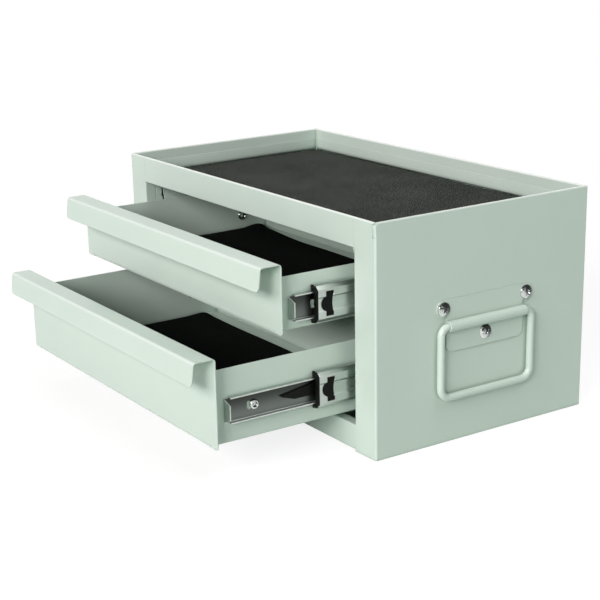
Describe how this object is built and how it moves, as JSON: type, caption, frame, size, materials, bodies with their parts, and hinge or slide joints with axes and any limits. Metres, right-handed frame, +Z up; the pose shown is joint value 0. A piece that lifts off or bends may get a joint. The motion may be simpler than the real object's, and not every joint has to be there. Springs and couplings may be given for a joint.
{
  "type": "tool drawer box",
  "caption": "Folded steel drawer box for sockets, with a lined open tray on top, ball-bearing drawers with finger lips, and folding bail handles.",
  "frame": {"origin": "centre of the cabinet's underside, between the outer faces of its panels", "axes": "+X to the right as seen from in front of the box, +Y to the back, +Z up; the drawers open along -Y"},
  "size_m": [0.5302, 0.4753, 0.25],
  "materials": {
    "mint_paint": "satin mint green enamel over folded sheet steel",
    "slide_zinc": "bright zinc plate on rolled slide members",
    "drawer_member": "zinc plate in the shade of the channel",
    "bright_steel": "nickel plated screws, rivets and polished balls",
    "black_plastic": "moulded black plastic",
    "tray_liner": "textured dark grey liner",
    "drawer_liner": "matt black foam liner"
  },
  "bodies": {
    "cabinet": {"left_side_panel": "mint_paint", "right_side_panel": "mint_paint", "back_panel": "mint_paint", "front_top_rail": "mint_paint", "top_tray": "mint_paint", "base_pan": "mint_paint", "top_tray_mat": "tray_liner", "front_left_upright": "mint_paint", "front_right_upright": "mint_paint", "rear_left_upright": "mint_paint", "rear_right_upright": "mint_paint", "upper_left_outer_slide": "slide_zinc", "upper_right_outer_slide": "slide_zinc", "lower_left_outer_slide": "slide_zinc", "lower_right_outer_slide": "slide_zinc", "left_handle_plate": "mint_paint", "right_handle_plate": "mint_paint", "handle_screws": "bright_steel", "handle_nuts": "slide_zinc"},
    "left_bail": {"left_bail": "mint_paint"},
    "right_bail": {"right_bail": "mint_paint"},
    "upper_mids": {"upper_left_mid_slide": "slide_zinc", "upper_right_mid_slide": "slide_zinc", "upper_end_clips": "black_plastic"},
    "upper_outer_cages": {"upper_outer_cages": "slide_zinc", "upper_outer_balls": "bright_steel"},
    "upper_inner_cages": {"upper_inner_cages": "slide_zinc", "upper_inner_balls": "bright_steel"},
    "upper_drawer": {"upper_drawer_body": "mint_paint", "upper_drawer_mat": "drawer_liner", "upper_left_drawer_slide": "drawer_member", "upper_right_drawer_slide": "drawer_member", "upper_slide_rivets": "bright_steel", "upper_lever_pins": "bright_steel"},
    "upper_left_release_lever": {"upper_left_release_lever": "black_plastic"},
    "upper_right_release_lever": {"upper_right_release_lever": "black_plastic"},
    "lower_mids": {"lower_left_mid_slide": "slide_zinc", "lower_right_mid_slide": "slide_zinc", "lower_end_clips": "black_plastic"},
    "lower_outer_cages": {"lower_outer_cages": "slide_zinc", "lower_outer_balls": "bright_steel"},
    "lower_inner_cages": {"lower_inner_cages": "slide_zinc", "lower_inner_balls": "bright_steel"},
    "lower_drawer": {"lower_drawer_body": "mint_paint", "lower_drawer_mat": "drawer_liner", "lower_left_drawer_slide": "drawer_member", "lower_right_drawer_slide": "drawer_member", "lower_slide_rivets": "bright_steel", "lower_lever_pins": "bright_steel"},
    "lower_left_release_lever": {"lower_left_release_lever": "black_plastic"},
    "lower_right_release_lever": {"lower_right_release_lever": "black_plastic"}
  },
  "joints": [
    {"name": "left_bail_hinge", "type": "hinge", "parent": "cabinet", "child": "left_bail", "pos_m": [-0.25935, 0, 0.1282], "axis": [0, 1, 0], "range_deg": [0, 160]},
    {"name": "right_bail_hinge", "type": "hinge", "parent": "cabinet", "child": "right_bail", "pos_m": [0.25935, 0, 0.1282], "axis": [0, -1, 0], "range_deg": [0, 160]},
    {"name": "upper_mids_travel", "type": "slide", "parent": "cabinet", "child": "upper_mids", "axis": [0, -1, 0], "range_m": [-0.061, 0.056]},
    {"name": "upper_drawer_travel", "type": "slide", "parent": "upper_mids", "child": "upper_drawer", "axis": [0, -1, 0], "range_m": [-0.025, 0.092]},
    {"name": "upper_outer_cages_roll", "type": "slide", "parent": "cabinet", "child": "upper_outer_cages", "axis": [0, -1, 0], "range_m": [-0.0305, 0.028]},
    {"name": "upper_inner_cages_roll", "type": "slide", "parent": "upper_mids", "child": "upper_inner_cages", "axis": [0, -1, 0], "range_m": [-0.0125, 0.046]},
    {"name": "upper_left_release_lever_pivot", "type": "hinge", "parent": "upper_drawer", "child": "upper_left_release_lever", "pos_m": [-0.2053, -0.0937, 0.1655], "axis": [1, 0, 0], "range_deg": [-5, 5], "stiffness_Nm_per_rad": 0.02},
    {"name": "upper_right_release_lever_pivot", "type": "hinge", "parent": "upper_drawer", "child": "upper_right_release_lever", "pos_m": [0.2053, -0.0937, 0.1655], "axis": [1, 0, 0], "range_deg": [-5, 5], "stiffness_Nm_per_rad": 0.02},
    {"name": "lower_mids_travel", "type": "slide", "parent": "cabinet", "child": "lower_mids", "axis": [0, -1, 0], "range_m": [-0.061, 0.056]},
    {"name": "lower_drawer_travel", "type": "slide", "parent": "lower_mids", "child": "lower_drawer", "axis": [0, -1, 0], "range_m": [-0.1035, 0.0135]},
    {"name": "lower_outer_cages_roll", "type": "slide", "parent": "cabinet", "child": "lower_outer_cages", "axis": [0, -1, 0], "range_m": [-0.0305, 0.028]},
    {"name": "lower_inner_cages_roll", "type": "slide", "parent": "lower_mids", "child": "lower_inner_cages", "axis": [0, -1, 0], "range_m": [-0.05175, 0.00675]},
    {"name": "lower_left_release_lever_pivot", "type": "hinge", "parent": "lower_drawer", "child": "lower_left_release_lever", "pos_m": [-0.2053, -0.1722, 0.07433], "axis": [1, 0, 0], "range_deg": [-5, 5], "stiffness_Nm_per_rad": 0.02},
    {"name": "lower_right_release_lever_pivot", "type": "hinge", "parent": "lower_drawer", "child": "lower_right_release_lever", "pos_m": [0.2053, -0.1722, 0.07433], "axis": [1, 0, 0], "range_deg": [-5, 5], "stiffness_Nm_per_rad": 0.02}
  ],
  "couplings": [
    {"joint": "upper_outer_cages_roll", "follows": "upper_mids_travel", "ratio": 0.5},
    {"joint": "upper_inner_cages_roll", "follows": "upper_drawer_travel", "ratio": 0.5},
    {"joint": "lower_outer_cages_roll", "follows": "lower_mids_travel", "ratio": 0.5},
    {"joint": "lower_inner_cages_roll", "follows": "lower_drawer_travel", "ratio": 0.5}
  ]
}
